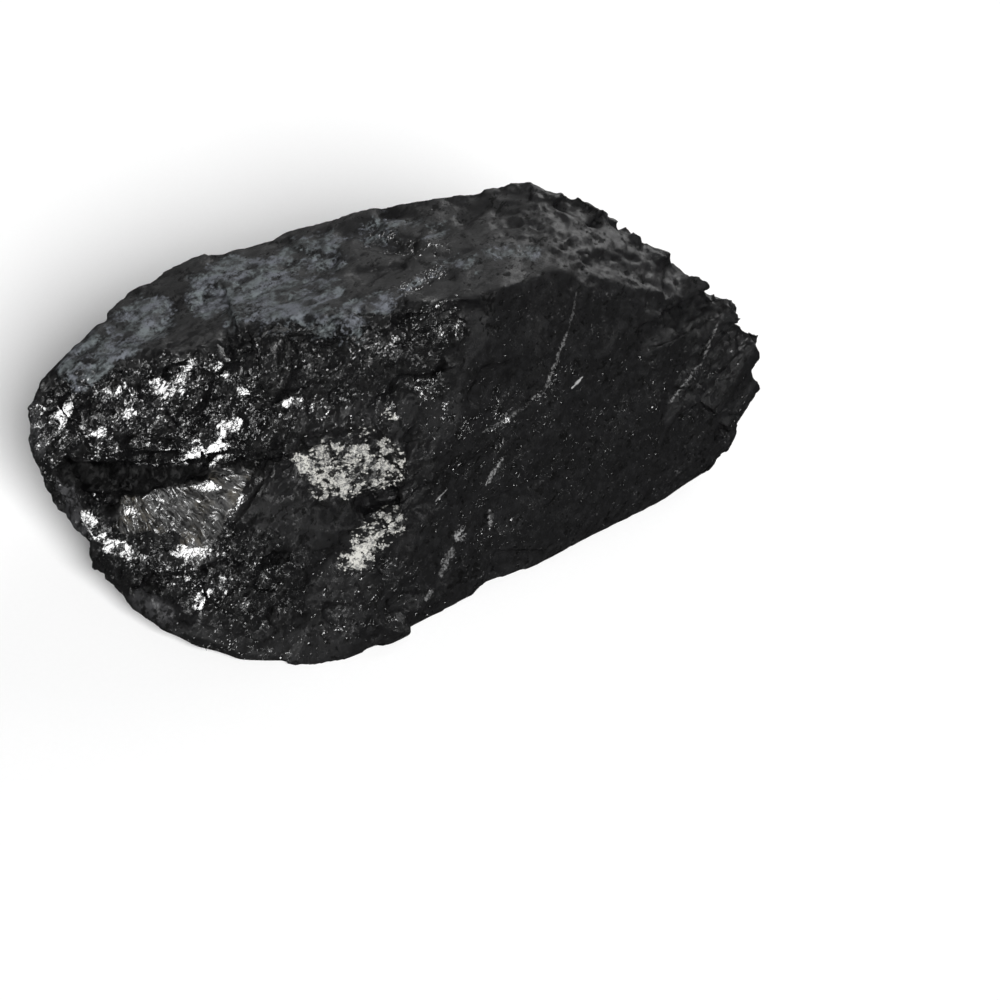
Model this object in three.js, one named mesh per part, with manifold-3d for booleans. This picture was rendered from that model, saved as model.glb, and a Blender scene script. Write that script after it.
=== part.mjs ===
// A rough lump of black tourmaline (schorl): one natural piece, broken on every side, on a flat break.
// It is a convex mass between named corners, with its faces buckled a little. Ledges, clefts and shallow
// breaks are cut from it, and the ends of parallel crystals stand proud where it broke across them.
// Millimetres. +X runs along the lump, +Z is up, and the origin is on the ground under its middle.

import * as THREE from "three";
import { ConvexGeometry } from "three/addons/geometries/ConvexGeometry.js";
import { MeshSurfaceSampler } from "three/addons/math/MeshSurfaceSampler.js";
import { SimplexNoise } from "three/addons/math/SimplexNoise.js";
import { mergeVertices } from "three/addons/utils/BufferGeometryUtils.js";
import Module from "manifold-3d";

const wasm = await Module();
wasm.setup();

// Corners of the mass.
const CORNERS = {
  frontFoot: [
    [-38, -31.5, 1], [-30.5, -35, 0], [-17.5, -33, 0], [-4.5, -32, 0], [9, -30, 0], [23, -29, 0],
    [31.5, -28, 0], [38, -27.5, 1], [49.5, -27, 4],
  ],
  backFoot: [
    [50, -4, 0], [38, 12, 0], [14, 22, 0], [-16, 26, 0], [-40, 18, 0], [-46, -4, 0], [-40, -24, 0],
  ],
  leftEnd: [
    [-46.5, -27, 3], [-54.5, -17.5, 5], [-57.5, -11, 6], [-58.5, -6, 8], [-59.5, 2.5, 11], [-60.3, 9.5, 15],
    [-61, 15, 19], [-61.5, 18, 24], [-60, 19, 29], [-57.5, 19, 32.5],
  ],
  rightEnd: [
    [53.5, -26.5, 8], [57.5, -24, 15], [58.5, -21, 21], [56, -17, 28],
  ],
  back: [
    [57, -5, 14], [46, 14, 16], [18, 28, 20], [-14, 34.5, 20], [-44, 31, 18],
  ],
  frontCrest: [
    [-54.5, 15.5, 35], [-42, 7.5, 38], [-29, 2, 41], [-16, -6, 42], [0, -11, 45], [12, -13, 46],
    [23.5, -12.5, 46], [52, -12.5, 31],
  ],
  backCrest: [
    [-51, 21.5, 35], [-46, 23.5, 36], [-36, 28, 38], [-26, 28.5, 40], [-15, 25.5, 42], [-3, 22, 44],
    [7, 17.5, 46], [15.5, 13.5, 47], [29.5, 7, 50], [38, 1, 46], [43.5, -3.5, 41.8], [47, -7, 38],
  ],
};

// Ledges and clefts. Each is given by its rim: a place near the surface, then how deep the floor lies under
// it. Where the depth is below zero, the floor runs out of the surface.
const RECESSES = {
  // The left end: a fan of crystals lies open under an overhang, with a cleft along its top.
  fanUnderTheCleft: [
    [-57.6, 8.2, 22.2, 2.4], [-50, 0, 24.8, 3], [-40.3, -6, 26.3, 2.8], [-30, -12, 27.6, 1.3],
    [-31.7, -12.4, 24.5, 0.9], [-36.5, -14, 20.5, 0.8], [-43.8, -15.1, 15.2, 0.7], [-51, -9, 14.8, -0.3],
    [-56.5, 1, 18, 0.5],
  ],
  cleft: [
    [-58.8, 9, 24.3, 2], [-58.3, 8, 21.5, 2], [-52, 1.5, 23.4, 4.6], [-44, -4, 25, 4.4],
    [-33, -10.8, 26.6, 2.6], [-26, -14, 28, 0.6], [-32, -10, 28.6, 1], [-44, -2.8, 27.2, 2.6],
    [-53, 4, 26, 2.4],
  ],
  // Flat faces above the cleft.
  faceUnderTheCrest: [
    [-45.5, 6.5, 36, 0.2], [-38, 4, 38.8, 1.5], [-33.5, 0.5, 37, 1.6], [-40.5, 1.6, 33.5, 0.7],
    [-46, 5, 33, -0.4],
  ],
  faceAtTheTip: [
    [-53.5, 14, 34.8, 1.5], [-46.8, 9.5, 35, 0.9], [-49, 5.6, 30, -0.3], [-54.6, 8.6, 28.4, 1.3],
    [-56.4, 13.5, 31, 0.6],
  ],
  faceOverTheCleft: [
    [-43.5, 1.5, 32.6, 1.8], [-33, -3, 35, 1.8], [-24.5, -8, 35, 0.8], [-29.5, -9.5, 29, -0.4],
    [-41, -4.4, 28.6, 0.5],
  ],
  rimOfTheTip: [[-58.6, 15, 30.5, 1], [-58.2, 11, 27, 1.4], [-60, 12, 22, 0.6], [-60.2, 16, 25, -0.3]],
  // A bright edge under the fan, and steps down to the foot.
  edgeUnderTheFan: [
    [-57.6, 3.6, 19, 1.2], [-54.6, -2, 16.4, 1.6], [-53.4, -7.5, 12.6, 0.9], [-56.4, -6, 12, -0.3],
    [-58, 1, 15, 0.4],
  ],
  upperStep: [
    [-53.5, -10, 12.4, 1.7], [-46, -16, 13.4, 1.3], [-45.5, -19.5, 9.6, -0.3], [-52, -15, 8, 1],
    [-55.4, -10, 9.5, 0.6],
  ],
  middleStep: [
    [-46.5, -15.5, 14.4, 1.8], [-37, -20, 14, 1.4], [-34, -24.5, 10.5, -0.3], [-43, -23, 8, 0.6],
    [-46.8, -19, 10.4, 1],
  ],
  lowestStep: [
    [-52.6, -18.5, 6.4, 1.6], [-44, -25, 6.2, 1], [-40, -30, 2.4, 0.4], [-45.6, -27.5, 2, 1.8],
    [-53.4, -19, 4, 1],
  ],
  // The front crest has a gap and a broken strip.
  gapInTheCrest: [
    [-31, 3.4, 41.4, 1.4], [-31, -0.4, 38, 1.8], [-27, -2.4, 37.4, 2.2], [-25.4, 2.2, 41.8, 2.4],
  ],
  leftStripOfTheCrest: [
    [-22, -2, 42, 1], [-22, -7.6, 37, 0.5], [-9.4, -13, 37.6, -0.3], [-6, -11, 42.6, 1.7],
    [-10, -7.4, 43.6, 1.5],
  ],
  rightStripOfTheCrest: [
    [-6, -8.4, 44.4, 1.5], [-4, -14.8, 39.2, 0.6], [6.5, -17.6, 38.6, -0.3], [9.5, -13.4, 45, 1.2],
    [4, -10.4, 45.7, 1.5],
  ],
  // The front face: a pit, the flakes around it, and steps along the veins.
  darkPit: [
    [-20.5, -23, 21.6, 2.4], [-19, -25.4, 18.4, 1], [-14.6, -25.6, 18.8, 1.6], [-13.8, -23.4, 22.4, 2.8],
  ],
  flakeOverThePit: [
    [-29, -14.6, 25.6, 0.2], [-26, -12.2, 30.6, 1], [-13.4, -17.8, 31, 1.2], [-10.8, -22.4, 24.4, 0.4],
    [-24, -19.4, 22.8, -0.3],
  ],
  flakeUnderThePit: [
    [-27, -26.4, 11.4, -0.3], [-24.4, -23.4, 17.8, 0.8], [-13.8, -25.6, 18, 1], [-14.4, -29, 11.4, 0.4],
  ],
  stepByTheVein: [
    [-3.5, -25, 19, 0.2], [-2, -23.6, 22.4, 0.7], [5.6, -22.6, 24.2, 0.8], [4, -25.4, 18, -0.3],
  ],
  stepUnderTheVein: [
    [0, -27.6, 12.6, 1.4], [1.4, -26.4, 15.4, 1.6], [11.5, -25.6, 15.8, 0.8], [11.5, -28, 9.4, -0.3],
    [3, -29, 9, 0.7],
  ],
  // The right end: furrows between the crystals, and a notch.
  longFurrow: [
    [37.2, -24.8, 15.4, 0.6], [38, -23.6, 18.4, 1.8], [58.2, -18.6, 26.8, 2], [59, -20.4, 23.4, 0.5],
  ],
  shortFurrow: [
    [43, -22.2, 20.6, 0.5], [43.6, -21, 23.6, 1.5], [57, -17.2, 29, 1.7], [57.6, -18.4, 26, 0.4],
  ],
  topFurrow: [
    [34.6, -19.4, 28, 0.4], [36, -17.4, 32, 1.5], [52.6, -14.2, 32.6, 1.8], [52.8, -17.4, 28.6, 0.4],
  ],
  notch: [[54, -26.4, 9.4, 1.2], [57.4, -24.6, 13, 1.8], [60, -18, 15, 1.6], [58, -17, 10, 1.2]],
  // Hollows high on the right, and breaks behind.
  hollowByTheSummit: [
    [30.4, 0, 48.4, 0.6], [33.6, 3.6, 48.2, 1.5], [38, 0.6, 45.8, 1.6], [35.4, -2.6, 45.8, 0.5],
  ],
  hollowOnTheSlope: [
    [38.8, -3, 43.4, 0.5], [41, 0.8, 43.6, 1.5], [46, -4.8, 39.4, 1.6], [43, -6.6, 39.8, 0.4],
  ],
  backFaceRight: [[40, 16, 18, 1.5], [20, 26, 24, 1.4], [24, 18, 36, -0.3], [44, 8, 30, 0.8]],
  backFaceLeft: [[-6, 33, 22, 1.6], [-30, 32.4, 20, 1.8], [-30, 29, 32, -0.3], [-8, 28.6, 34, 0.9]],
  backCorner: [[-44, 31, 19, 1.2], [-57, 21, 22, 1.8], [-54, 22.4, 31, -0.3], [-43, 27.6, 30, 1]],
};

// Crystals whose ends stand proud: where each ends, its radius, and how far it runs back into the lump.
const CRYSTALS = [
  { end: [51.8, -12.8, 33.6], radius: 2.6, length: 17 },
  { end: [55.6, -16.8, 27.6], radius: 2.6, length: 17 },
  { end: [58.6, -20.2, 21.4], radius: 2.4, length: 14 },
  { end: [58, -22.4, 15], radius: 2.2, length: 10 },
  { end: [52.4, -23, 8.6], radius: 2.4, length: 9 },
  { end: [58, -13, 20], radius: 3.4, length: 20 },
  { end: [57.6, -6, 20.5], radius: 3.6, length: 20 },
  { end: [54.4, -3.6, 28.5], radius: 3.6, length: 20 },
  { end: [52.4, 4, 19], radius: 3.6, length: 20 },
  { end: [46.8, -7.4, 38.2], radius: 2.4, length: 14 },
  { end: [43.4, -5, 41.8], radius: 2.2, length: 12 },
  { end: [38.4, -0.6, 45.8], radius: 2.2, length: 12 },
];
const CRYSTAL_AXIS = new THREE.Vector3(0.82, 0.28, 0.5).normalize();
const END_TILT = 0.7; // how far a crystal's end strays from the way it should face

// A rounded lobe that swells out of the front foot.
const LOBE = { centre: [-20.5, -31.6, 2.8], radius: 4.8, corners: 18 };

// Breaks scattered over the surface: how many, how wide, how deep, and where.
const UNDERSIDE = -0.85; // a face that points down more than this is on the underside
const BREAKS = [
  { count: 72, radius: [7, 13], depth: [0.3, 0.9], where: (point, normal) => normal.z > UNDERSIDE },
  { count: 30, radius: [3, 6], depth: [0.5, 1.2], where: ({ x, z }) => x < -24 && z > 4 && z < 38 },
  { count: 16, radius: [2.4, 4.4], depth: [0.5, 1], where: ({ x, z }) => x > 24 && z > 33 },
  { count: 14, radius: [2.4, 5], depth: [0.6, 1.4], where: ({ x, z }) => x > 40 && z > 4 },
  { count: 12, radius: [4, 9], depth: [1.4, 2.4], where: (point, normal) => normal.z < UNDERSIDE },
];

// Ends of small crystals, flush with the break across them but for a little.
const STUBS = {
  count: 32,
  radius: [1.6, 3.2],
  length: [6, 10],
  proud: [0.3, 1],
  where: ({ x }, normal) => x > 34 && normal.dot(CRYSTAL_AXIS) > 0.64,
};

// Relief of the whole surface.
const PANEL = 11; // longest edge of the buckled faces
const BUCKLE = 0.7; // how far a face wanders
const BUCKLE_SPAN = 15; // over what distance
const RIM_RISE = 3; // how far a cutter's rim stands outside the surface
const BREAK_SIDES = 5; // of a scattered break
const BREAK_LIFT = 0.5; // how far outside the surface its floor ends
const FOOT_CUT = 0.8; // what the flat break under the lump takes off
const SEED = 14;

// Numbers from 0 to 1 in a fixed order, so that the lump is the same each time.
THREE.MathUtils.seededRandom(SEED);
const random = () => THREE.MathUtils.seededRandom();
const between = ([low, high]) => low + (high - low) * random();
const vector = (corner) => new THREE.Vector3(...corner);

// A closed geometry as a manifold-3d solid, a solid as a geometry, and the convex solid around some points.
function solidOf(geometry) {
  geometry.deleteAttribute("normal");
  geometry.deleteAttribute("uv");
  const merged = mergeVertices(geometry);
  const vertProperties = new Float32Array(merged.getAttribute("position").array);
  const triVerts = new Uint32Array(merged.index.array);
  return new wasm.Manifold(new wasm.Mesh({ numProp: 3, vertProperties, triVerts }));
}

const hull = (points) => solidOf(new ConvexGeometry(points));

function geometryOf(solid) {
  const { vertProperties, triVerts } = solid.getMesh();
  const geometry = new THREE.BufferGeometry();
  geometry.setAttribute("position", new THREE.BufferAttribute(vertProperties, 3));
  geometry.setIndex(new THREE.BufferAttribute(triVerts, 1));
  return geometry;
}

// Halves every edge longer than the limit, for both of its faces at once, until none is left.
function panelled(geometry, limit) {
  const points = [];
  const { position } = geometry.attributes;
  for (let i = 0; i < position.count; i += 1) {
    points.push(new THREE.Vector3().fromBufferAttribute(position, i));
  }
  let faces = [];
  for (let i = 0; i < geometry.index.count; i += 3) faces.push([...geometry.index.array.slice(i, i + 3)]);

  let count = 0;
  while (count !== faces.length) {
    count = faces.length;
    const middles = new Map();
    const middle = (a, b) => {
      if (points[a].distanceTo(points[b]) <= limit) return null;
      const key = [Math.min(a, b), Math.max(a, b)].join();
      if (!middles.has(key)) middles.set(key, points.push(points[a].clone().lerp(points[b], 0.5)) - 1);
      return middles.get(key);
    };
    faces = faces.flatMap((face) => splitFace(face, middle));
  }
  const split = new THREE.BufferGeometry();
  split.setAttribute("position", new THREE.Float32BufferAttribute(points.flatMap((p) => p.toArray()), 3));
  split.setIndex(faces.flat());
  return split;
}

// One face, cut at the middles of those of its edges that are too long.
function splitFace([a, b, c], middle) {
  const [ab, bc, ca] = [middle(a, b), middle(b, c), middle(c, a)];
  const turned = [
    [a, b, c, ab, bc, ca],
    [b, c, a, bc, ca, ab],
    [c, a, b, ca, ab, bc],
  ];
  for (const [p, q, r, pq, qr, rp] of turned) {
    if (pq !== null && qr !== null && rp !== null) {
      return [[p, pq, rp], [pq, q, qr], [rp, qr, r], [pq, qr, rp]];
    }
    if (pq !== null && qr !== null) return [[pq, q, qr], [p, pq, qr], [p, qr, r]];
    if (pq !== null && qr === null && rp === null) return [[p, pq, r], [pq, q, r]];
  }
  return [[a, b, c]];
}

// Moves each vertex a little, by a smooth noise of its place.
function buckled(geometry) {
  const noise = new SimplexNoise({ random });
  const { position } = geometry.attributes;
  for (let i = 0; i < position.count; i += 1) {
    const point = new THREE.Vector3().fromBufferAttribute(position, i);
    const [x, y, z] = point.clone().divideScalar(BUCKLE_SPAN).toArray();
    const shift = vector([noise.noise3d(x, y, z), noise.noise3d(y, z, x), noise.noise3d(z, x, y)]);
    position.setXYZ(i, ...point.addScaledVector(shift, BUCKLE).toArray());
  }
  return geometry;
}

// The triangles of a geometry, to measure against.
function trianglesOf(geometry) {
  const bare = geometry.toNonIndexed().getAttribute("position");
  const triangles = [];
  for (let i = 0; i < bare.count; i += 3) {
    triangles.push(new THREE.Triangle().setFromAttributeAndIndices(bare, i, i + 1, i + 2));
  }
  return triangles;
}

// The point of the surface nearest to a place, and the way the surface faces there.
function nearest(triangles, place) {
  let best = { distance: Infinity };
  for (const triangle of triangles) {
    const point = triangle.closestPointToPoint(place, new THREE.Vector3());
    const distance = point.distanceTo(place);
    if (distance < best.distance) best = { distance, point, triangle };
  }
  return { point: best.point, normal: best.triangle.getNormal(new THREE.Vector3()) };
}

// A cutter for a ledge or a cleft. Its rim stands outside the surface, and its floor lies under it.
function recess(triangles, rim) {
  const seats = rim.map(([x, y, z]) => nearest(triangles, vector([x, y, z])));
  const normal = seats.reduce((sum, seat) => sum.add(seat.normal), new THREE.Vector3()).normalize();
  const points = [];
  for (const [i, { point }] of seats.entries()) {
    points.push(point.clone().addScaledVector(normal, RIM_RISE));
    points.push(point.clone().addScaledVector(normal, -rim[i][3]));
  }
  return hull(points);
}

// A place off a point: so far round the way the surface faces, so far out from the point, and so far up.
function offset(point, normal, turn, reach, rise) {
  const side = new THREE.Vector3(0, 1, 0).cross(normal).normalize();
  const across = normal.clone().cross(side);
  return point.clone()
    .addScaledVector(side, Math.cos(turn) * reach)
    .addScaledVector(across, Math.sin(turn) * reach)
    .addScaledVector(normal, rise);
}

// A cutter for one scattered break: a rim outside the surface, and a floor that dips towards one side.
function breakAt(point, normal, radius, depth) {
  const steepSide = random() * Math.PI * 2;
  const points = [];
  for (let i = 0; i < BREAK_SIDES; i += 1) {
    const turn = ((i + 0.7 * random()) / BREAK_SIDES) * Math.PI * 2;
    const reach = radius * between([0.7, 1.1]);
    points.push(offset(point, normal, turn, reach, BREAK_LIFT));
    points.push(offset(point, normal, turn, reach, RIM_RISE));
  }
  for (const turn of [steepSide - 0.6, steepSide + 0.6]) {
    points.push(offset(point, normal, turn, radius * between([0.3, 0.7]), -depth));
  }
  return hull(points);
}

// The end of a six-sided crystal, broken off square to the way it faces, or nearly so.
function crystal(end, radius, length, facing) {
  const tilt = vector([random() - 0.5, random() - 0.5, random() - 0.5]).multiplyScalar(END_TILT);
  const slant = facing.clone().add(tilt);
  const phase = random() * Math.PI;
  const points = [];
  for (let i = 0; i < 6; i += 1) {
    const turn = phase + (i * Math.PI) / 3;
    const rim = offset(new THREE.Vector3(), CRYSTAL_AXIS, turn, radius * between([0.8, 1.1]), 0);
    const rise = -rim.dot(slant) / slant.dot(CRYSTAL_AXIS);
    points.push(end.clone().add(rim).addScaledVector(CRYSTAL_AXIS, rise));
    points.push(end.clone().add(rim).addScaledVector(CRYSTAL_AXIS, -length));
  }
  return hull(points);
}

// Places picked at random on a mesh, by area, among those that a test lets through.
function* scattered(mesh, count, where) {
  const sampler = new MeshSurfaceSampler(mesh).setRandomGenerator(random).build();
  const point = new THREE.Vector3();
  const normal = new THREE.Vector3();
  for (let found = 0; found < count; ) {
    sampler.sample(point, normal);
    if (!where(point, normal)) continue;
    found += 1;
    yield { point: point.clone(), normal: normal.clone() };
  }
}

// An irregular round lump.
function boulder({ centre, radius, corners }) {
  const points = [];
  for (let i = 0; i < corners; i += 1) {
    const fromTop = Math.acos(2 * random() - 1);
    const out = new THREE.Vector3().setFromSphericalCoords(radius, fromTop, 2 * Math.PI * random());
    points.push(out.add(vector(centre)));
  }
  return hull(points);
}

// The mass, less the scattered breaks, plus the crystals and the lobe, less the ledges and the ground.
function tourmalineMass() {
  const corners = new ConvexGeometry(Object.values(CORNERS).flat().map(vector));
  corners.deleteAttribute("normal");
  const faces = buckled(panelled(mergeVertices(corners), PANEL));
  const whole = new THREE.Mesh(faces);
  const breaks = [];
  for (const { count, radius, depth, where } of BREAKS) {
    for (const { point, normal } of scattered(whole, count, where)) {
      breaks.push(breakAt(point, normal, between(radius), between(depth)));
    }
  }
  const lumps = [boulder(LOBE)];
  for (const { end, radius, length } of CRYSTALS) {
    lumps.push(crystal(vector(end), radius, length, CRYSTAL_AXIS));
  }
  for (const { point, normal } of scattered(whole, STUBS.count, STUBS.where)) {
    const end = point.addScaledVector(CRYSTAL_AXIS, between(STUBS.proud));
    lumps.push(crystal(end, between(STUBS.radius), between(STUBS.length), normal));
  }
  const triangles = trianglesOf(faces);
  const ledges = Object.values(RECESSES).map((rim) => recess(triangles, rim));
  const ground = solidOf(new THREE.BoxGeometry(200, 200, 20).translate(0, 0, FOOT_CUT - 10));

  const { union } = wasm.Manifold;
  const broken = solidOf(faces).subtract(union(breaks)).add(union(lumps));
  const geometry = geometryOf(broken.subtract(union([...ledges, ground])));
  geometry.computeBoundingBox();
  const { min, max } = geometry.boundingBox;
  return geometry.translate(-(min.x + max.x) / 2, -(min.y + max.y) / 2, -min.z);
}

const mass = new THREE.Mesh(
  tourmalineMass(),
  new THREE.MeshStandardMaterial({ color: 0x0d0d0e, roughness: 0.35, metalness: 0, flatShading: true }),
);
mass.name = "tourmaline_mass";

const group = new THREE.Group();
group.add(mass);
export default group;
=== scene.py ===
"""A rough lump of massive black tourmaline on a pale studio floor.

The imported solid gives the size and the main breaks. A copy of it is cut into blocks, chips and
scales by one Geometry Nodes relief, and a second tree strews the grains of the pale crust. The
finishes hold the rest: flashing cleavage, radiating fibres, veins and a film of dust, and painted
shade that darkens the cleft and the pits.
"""

from __future__ import annotations

import logging
import math
from dataclasses import dataclass, field
from enum import Enum
from functools import reduce
from typing import Callable, ClassVar, NamedTuple, Union

import bmesh
import bpy
import numpy as np
from bpy.types import ID, Material, Mesh, Node, NodeSocket, NodeTree, Object
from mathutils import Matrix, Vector


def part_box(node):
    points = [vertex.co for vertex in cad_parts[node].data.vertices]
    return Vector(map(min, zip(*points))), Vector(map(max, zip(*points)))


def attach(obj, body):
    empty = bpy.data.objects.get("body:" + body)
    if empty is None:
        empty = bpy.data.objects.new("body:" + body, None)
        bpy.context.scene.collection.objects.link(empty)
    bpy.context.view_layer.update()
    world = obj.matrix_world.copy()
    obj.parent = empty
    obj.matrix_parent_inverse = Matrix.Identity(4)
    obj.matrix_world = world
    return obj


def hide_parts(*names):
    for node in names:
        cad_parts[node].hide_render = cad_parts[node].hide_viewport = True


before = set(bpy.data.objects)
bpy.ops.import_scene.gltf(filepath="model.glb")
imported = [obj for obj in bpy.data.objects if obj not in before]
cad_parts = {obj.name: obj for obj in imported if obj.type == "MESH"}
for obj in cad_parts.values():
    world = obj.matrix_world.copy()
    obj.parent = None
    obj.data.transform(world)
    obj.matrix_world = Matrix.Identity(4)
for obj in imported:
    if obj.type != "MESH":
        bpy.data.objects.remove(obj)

log = logging.getLogger("tourmaline")

MM = 0.001
SOLID = "tourmaline_mass"
BODY = "root"

Point = tuple[float, float, float]
Colour = tuple[float, float, float]
Value = Union["Link", float, int, tuple]


def unit(x: float, y: float, z: float) -> Point:
    """A direction at length one."""
    return tuple(Vector((x, y, z)).normalized())


# The grain of the stone: the crystals' direction, the scaly slope's, and the cleavage's three normals.
CRYSTAL_AXIS = unit(0.82, 0.28, 0.5)
CRYSTAL_STRETCH = 1.8
SLOPE_AXIS = unit(0.79, -0.33, -0.52)
CLEAVAGE = unit(-0.5, -0.5, 0.71)
STEEP_CLEAVAGE = unit(-0.86, -0.4, 0.32)
LEVEL_CLEAVAGE = unit(-0.12, -0.3, 0.94)

# The side that the marks are painted from, level across it, and the point that flat cleavage faces.
LOOK = unit(-0.37, -0.64, 0.67)
ACROSS = unit(0.866, -0.5, 0.0)
FLASH_POINT = (-448.0, -396.0, 594.0)

# The fibrous fan: the point that its fibres come from, the plane that they lie in, its straight side.
FAN_POINT = (-55.0, 14.0, 32.0)
FAN_ACROSS = (0.66, -0.75, 0.0)
FAN_DOWN = (-0.555, -0.49, -0.67)
FAN_EDGE = unit(0.58, -0.73, -0.376)
FAN_REACH = -20.8


@dataclass(frozen=True)
class Noise:
    """Soft noise, and two levels to cut it at. Its size is in millimetres."""

    size: Value
    detail: float = 2.0
    roughness: float = 0.5
    low: float = 0.0
    high: float = 1.0
    swirl: float = 0.0
    shift: Value | None = None


class Cell(NamedTuple):
    """What is known of the cell that a place is in."""

    distance: Link
    colour: Link
    centre: Link


def operator(operation: str, turned: bool = False) -> Callable[[Link, Value], Link]:
    """Makes a method of Link that takes one more operand.

    Args:
        operation: what its Math node does.
        turned: whether the link comes second.

    Returns:
        The method.
    """

    def method(link: Link, other: Value) -> Link:
        """Adds the node."""
        return link.net.maths(operation, *((other, link) if turned else (link, other)))

    return method


class Link:
    """A node's output that takes part in ordinary arithmetic, by Math and Vector Math nodes."""

    def __init__(self, net: Net, socket: NodeSocket) -> None:
        """Wraps an output of a node in a tree."""
        self.net = net
        self.socket = socket

    __add__ = operator("ADD")
    __radd__ = operator("ADD", turned=True)
    __sub__ = operator("SUBTRACT")
    __rsub__ = operator("SUBTRACT", turned=True)
    __mul__ = operator("MULTIPLY")
    __rmul__ = operator("MULTIPLY", turned=True)
    __truediv__ = operator("DIVIDE")
    most = operator("MAXIMUM")
    least = operator("MINIMUM")
    dot = operator("DOT_PRODUCT")

    def unsigned(self) -> Link:
        """The value without its sign."""
        return self.net.maths("ABSOLUTE", self)

    def length(self) -> Link:
        """The length of a vector."""
        return self.net.maths("LENGTH", self)

    def unit(self) -> Link:
        """The vector at length one."""
        return self.net.maths("NORMALIZE", self)

    def raised(self, floor: float) -> Link:
        """From floor to 1 in place of 0 to 1."""
        return floor + (1.0 - floor) * self

    def between(self, low: Value, high: Value) -> Link:
        """0 up to low and 1 from high, with a smooth rise; low may be above high."""
        values = {"Value": self, "From Min": low, "From Max": high}
        return self.net.read("ShaderNodeMapRange", {"interpolation_type": "SMOOTHSTEP"}, values, 0)


class Net:
    """A node tree that is built by calls and arithmetic; here is the place of a point in millimetres."""

    here: Link

    def __init__(self, tree: NodeTree) -> None:
        """Starts on an empty tree."""
        tree.nodes.clear()
        self.tree = tree

    def node(self, kind: str, settings: dict | None = None, values: dict | None = None) -> Node:
        """Adds a node.

        Args:
            kind: the node's type.
            settings: its own properties, set first.
            values: numbers, links or sockets for its inputs, by name or index.

        Returns:
            The node.
        """
        node = self.tree.nodes.new(kind)
        for name, setting in (settings or {}).items():
            setattr(node, name, setting)
        for name, value in (values or {}).items():
            self.feed(node.inputs[name], value)
        return node

    def feed(self, socket: NodeSocket, value: Value | NodeSocket) -> None:
        """Gives an input its link or its number.

        Args:
            socket: the input.
            value: a link, a socket or a plain value.
        """
        source = value.socket if isinstance(value, Link) else value
        if isinstance(source, NodeSocket):
            self.tree.links.new(source, socket)
        else:
            socket.default_value = source

    def read(self, kind: str, settings: dict | None = None, values: dict | None = None,
             output: int | str = 0) -> Link:
        """Adds a node and wraps one of its outputs."""
        return Link(self, self.node(kind, settings, values).outputs[output])

    def maths(self, operation: str, *values: Value) -> Link:
        """Adds a Math node, or a Vector Math node where a value is a vector.

        Args:
            operation: the node's operation, which has the same name in both.
            values: the operands.

        Returns:
            The result.
        """
        wide = any(isinstance(v, tuple) or isinstance(v, Link) and v.socket.type in ("VECTOR", "RGBA")
                   for v in values)
        settings = {"operation": operation}
        if not wide:
            return self.read("ShaderNodeMath", settings, dict(enumerate(values)), 0)
        full = [(v, v, v) if isinstance(v, (int, float)) else v for v in values]
        output = "Value" if operation in ("DOT_PRODUCT", "LENGTH") else "Vector"
        return self.read("ShaderNodeVectorMath", settings, dict(enumerate(full)), output)

    def vector(self, x: Value, y: Value, z: Value) -> Link:
        """Joins three numbers to a vector."""
        return self.read("ShaderNodeCombineXYZ", values={0: x, 1: y, 2: z})

    def mark(self, mark: Mark) -> Link:
        """Reads how strongly a mark is painted on the mesh."""
        raise NotImplementedError

    def noise(self, noise: Noise, place: Link | None = None, output: int = 0) -> Link:
        """Adds soft noise.

        Args:
            noise: its size and roughness.
            place: where it is read, if not at the surface's own place.
            output: 0 for one value and 1 for three independent ones.

        Returns:
            The value, mostly from 0.3 to 0.7.
        """
        point = (place or self.here) / noise.size
        if noise.shift is not None:
            point = point + noise.shift
        values = {"Vector": point, "Scale": 1.0, "Detail": noise.detail, "Roughness": noise.roughness,
                  "Distortion": noise.swirl}
        return self.read("ShaderNodeTexNoise", None, values, output)

    def sway(self, noise: Noise, place: Link | None = None) -> Link:
        """Adds noise that goes from about -0.2 to 0.2."""
        return self.noise(noise, place) - 0.5

    def warp(self, noise: Noise) -> Link:
        """Adds noise that goes from about -0.2 to 0.2 in each of three directions."""
        return self.noise(noise, None, 1) - 0.5

    def spots(self, noise: Noise, place: Link | None = None, extra: Value = 0.0) -> Link:
        """Adds noise, with what is added to it, that is 0 under its low level and 1 over its high one."""
        return (self.noise(noise, place) + extra).between(noise.low, noise.high)

    def cells(self, point: Link) -> Cell:
        """Adds random cells of about one unit."""
        node = self.node("ShaderNodeTexVoronoi", {"feature": "F1"}, {"Vector": point, "Scale": 1.0})
        return Cell(*(Link(self, node.outputs[name]) for name in ("Distance", "Color", "Position")))

    def edges(self, point: Link) -> Link:
        """How far it is to the edge of the same cells."""
        settings = {"feature": "DISTANCE_TO_EDGE"}
        return self.read("ShaderNodeTexVoronoi", settings, {"Vector": point, "Scale": 1.0}, "Distance")

    def chance(self, place: Value) -> Link:
        """A random number from 0 to 1 that belongs to a place."""
        return self.read("ShaderNodeTexWhiteNoise", None, {"Vector": place}, "Value")

    def along(self, axis: Point, stretch: float, place: Link | None = None) -> Link:
        """Squeezes space along an axis, so that what is read there is drawn out this many times."""
        place = place or self.here
        return place - self.maths("MULTIPLY", axis, place.dot(axis) * (1.0 - 1.0 / stretch))

    def swap(self, factor: Value, first: Value, second: Value) -> Link:
        """Goes from one direction to another; the result isn't at length one."""
        return self.read("ShaderNodeMix", {"data_type": "VECTOR"}, {0: factor, 4: first, 5: second}, 1)

    def cleavage(self, chance: Link) -> Link:
        """Picks one of the three cleavage directions by a random number from 0 to 1."""
        steep = self.swap(chance.between(0.42, 0.43), CLEAVAGE, STEEP_CLEAVAGE)
        return self.swap(chance.between(0.74, 0.75), steep, LEVEL_CLEAVAGE)


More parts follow.
